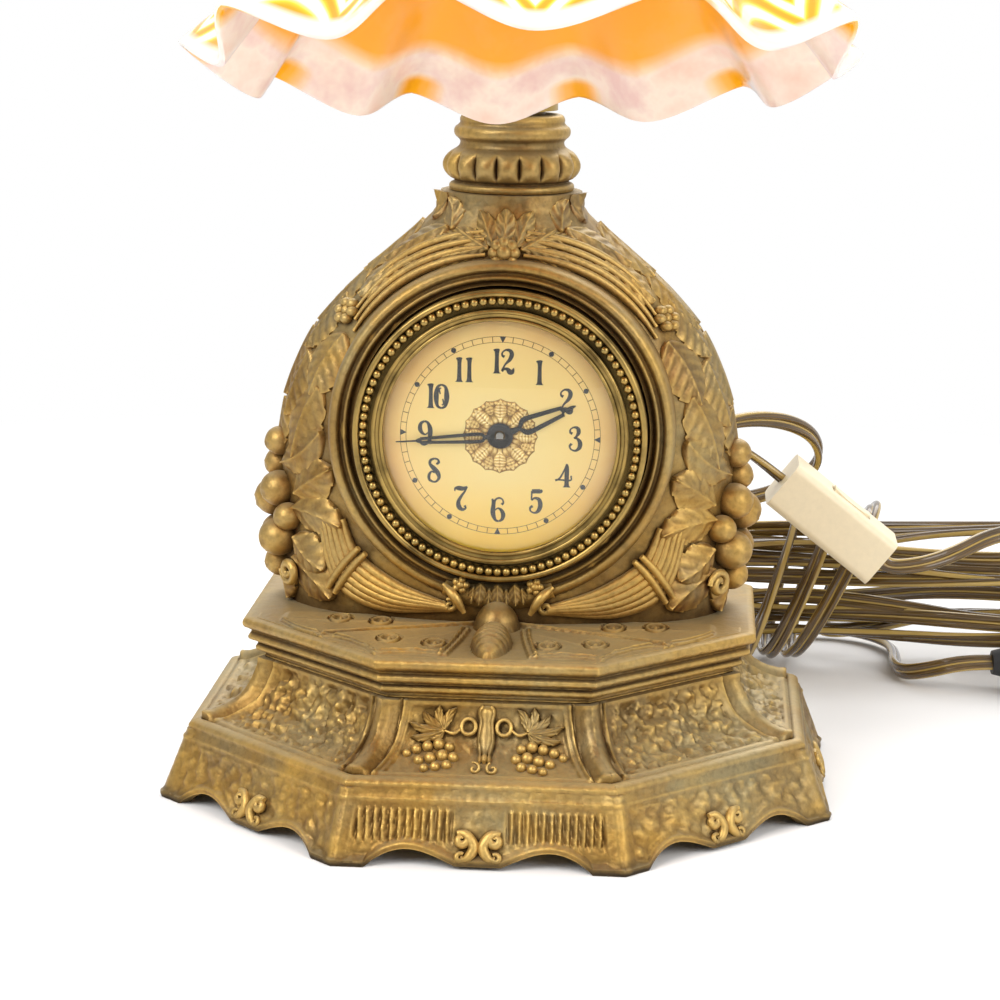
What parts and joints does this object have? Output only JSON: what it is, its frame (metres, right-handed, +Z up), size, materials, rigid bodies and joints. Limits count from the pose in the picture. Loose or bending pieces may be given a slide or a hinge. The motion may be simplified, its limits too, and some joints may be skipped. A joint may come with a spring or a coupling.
{
  "type": "desk clock lamp",
  "caption": "Desk lamp on an octagonal cast plinth with a clock in its body, a curved swivelling arm, a ruffled glass shade, and a coiled cord with switch and plug.",
  "frame": {"origin": "the surface it stands on, under the centre of the plinth", "axes": "+Z up along the post; the dial faces -Y; +X is to the viewer's right"},
  "size_m": [0.2879, 0.3578, 0.4041],
  "materials": {
    "gilt": "gilt spelter, rubbed, brown in the recesses",
    "brass": "bright brass",
    "steel": "plain steel",
    "dial_cream": "matt cream paint",
    "hand_black": "black",
    "clear_glass": "clear",
    "opal_glass": "opal with a gold feather pattern, iridescent inside",
    "fibre": "vulcanised fibre",
    "porcelain": "glazed",
    "vinyl": "clear gold vinyl over copper strands",
    "black_rubber": "matt black",
    "cream_plastic": "cream"
  },
  "bodies": {
    "base": {"back_plate": "brass", "base_cover_plate": "steel", "bezel": "brass", "casting_screws": "steel", "clock_case": "gilt", "cord_bushing": "black_rubber", "cord_hank": "vinyl", "cord_lead": "vinyl", "cord_tail": "vinyl", "crystal": "clear_glass", "dial": "dial_cream", "dial_rosette": "brass", "front_plate": "brass", "hairspring": "steel", "mainspring": "steel", "movement_can": "brass", "movement_clamp_ring": "brass", "movement_screws": "steel", "neck_collar": "gilt", "nipple_locknut": "brass", "plate_pillars": "brass", "plinth": "gilt", "plug_blades": "steel", "plug_body": "black_rubber", "rear_cover": "brass", "switch_body": "cream_plastic", "swivel_washer": "brass", "threaded_nipple": "brass"},
    "head": {"swivel_hub": "gilt", "gooseneck_arm": "gilt", "socket_cap": "brass", "socket_shell": "brass", "socket_insulator": "fibre", "socket_core": "porcelain", "screw_shell": "brass", "shade_holder": "gilt", "shade_thumbscrews": "gilt", "glass_shade": "opal_glass", "bulb_base": "brass", "bulb_glass": "clear_glass"},
    "hands": {"centre_arbor": "steel", "cannon_pinion": "brass", "minute_hand": "hand_black", "setting_knob": "brass"},
    "minute_wheel": {"minute_wheel": "brass"},
    "hour": {"hour_wheel": "brass", "hour_hand": "hand_black"},
    "centre_wheel": {"centre_wheel": "brass"},
    "barrel": {"spring_barrel": "brass"},
    "third_wheel": {"third_wheel": "brass"},
    "fourth_wheel": {"fourth_wheel": "brass"},
    "escape_wheel": {"escape_wheel": "brass"},
    "pallet_lever": {"pallet_lever": "steel"},
    "balance": {"balance_wheel": "brass"},
    "winding": {"winding_arbor": "steel", "ratchet_wheel": "steel", "winding_key": "brass"},
    "click": {"ratchet_click": "steel"},
    "regulator": {"regulator_lever": "steel"},
    "rocker": {"switch_rocker": "cream_plastic"}
  },
  "joints": [
    {"name": "head_swing", "type": "hinge", "parent": "base", "child": "head", "pos_m": [0, 0, 0.19], "axis": [0, 0, 1], "range_deg": [-160, 160]},
    {"name": "minute_turn", "type": "hinge", "parent": "base", "child": "hands", "pos_m": [0, 0, 0.1032], "axis": [0, -1, 0], "continuous": true},
    {"name": "minute_wheel_turn", "type": "hinge", "parent": "base", "child": "minute_wheel", "pos_m": [0.00564, 0, 0.10525], "axis": [0, -1, 0], "continuous": true},
    {"name": "hour_turn", "type": "hinge", "parent": "base", "child": "hour", "pos_m": [0, 0, 0.1032], "axis": [0, -1, 0], "continuous": true},
    {"name": "escape_turn", "type": "hinge", "parent": "base", "child": "escape_wheel", "pos_m": [0.01661, 0, 0.10156], "axis": [0, -1, 0], "continuous": true},
    {"name": "fourth_turn", "type": "hinge", "parent": "base", "child": "fourth_wheel", "pos_m": [0.01838, 0, 0.1116], "axis": [0, -1, 0], "continuous": true},
    {"name": "third_turn", "type": "hinge", "parent": "base", "child": "third_wheel", "pos_m": [0.0072, 0, 0.11567], "axis": [0, -1, 0], "continuous": true},
    {"name": "centre_turn", "type": "hinge", "parent": "base", "child": "centre_wheel", "pos_m": [0, 0, 0.1032], "axis": [0, -1, 0], "continuous": true},
    {"name": "barrel_turn", "type": "hinge", "parent": "base", "child": "barrel", "pos_m": [-0.01521, 0, 0.09912], "axis": [0, -1, 0], "continuous": true},
    {"name": "lever_rock", "type": "hinge", "parent": "base", "child": "pallet_lever", "pos_m": [0.01661, 0, 0.09216], "axis": [0, -1, 0], "range_deg": [-1.8, 1.8]},
    {"name": "balance_swing", "type": "hinge", "parent": "base", "child": "balance", "pos_m": [0.00936, 0, 0.08649], "axis": [0, -1, 0], "range_deg": [-135, 135], "stiffness_Nm_per_rad": 0.000002},
    {"name": "winding", "type": "hinge", "parent": "base", "child": "winding", "pos_m": [-0.01521, 0, 0.09912], "axis": [0, -1, 0], "range_deg": [0, 1800]},
    {"name": "click_lift", "type": "hinge", "parent": "base", "child": "click", "pos_m": [-0.01071, 0, 0.10692], "axis": [0, -1, 0], "range_deg": [0, 15]},
    {"name": "regulator_set", "type": "hinge", "parent": "base", "child": "regulator", "pos_m": [0.00936, 0, 0.08649], "axis": [0, -1, 0], "range_deg": [-22, 22]},
    {"name": "rocker_press", "type": "hinge", "parent": "base", "child": "rocker", "pos_m": [0.10108, 0.0935, 0.06107], "axis": [0, 1, 0], "range_deg": [-9, 9]}
  ],
  "couplings": [
    {"joint": "minute_wheel_turn", "follows": "minute_turn", "ratio": -0.33333},
    {"joint": "hour_turn", "follows": "minute_turn", "ratio": 0.083333},
    {"joint": "fourth_turn", "follows": "escape_turn", "ratio": -0.13333},
    {"joint": "third_turn", "follows": "escape_turn", "ratio": 0.017778},
    {"joint": "centre_turn", "follows": "escape_turn", "ratio": -0.0022222},
    {"joint": "barrel_turn", "follows": "escape_turn", "ratio": 0.00037037}
  ]
}
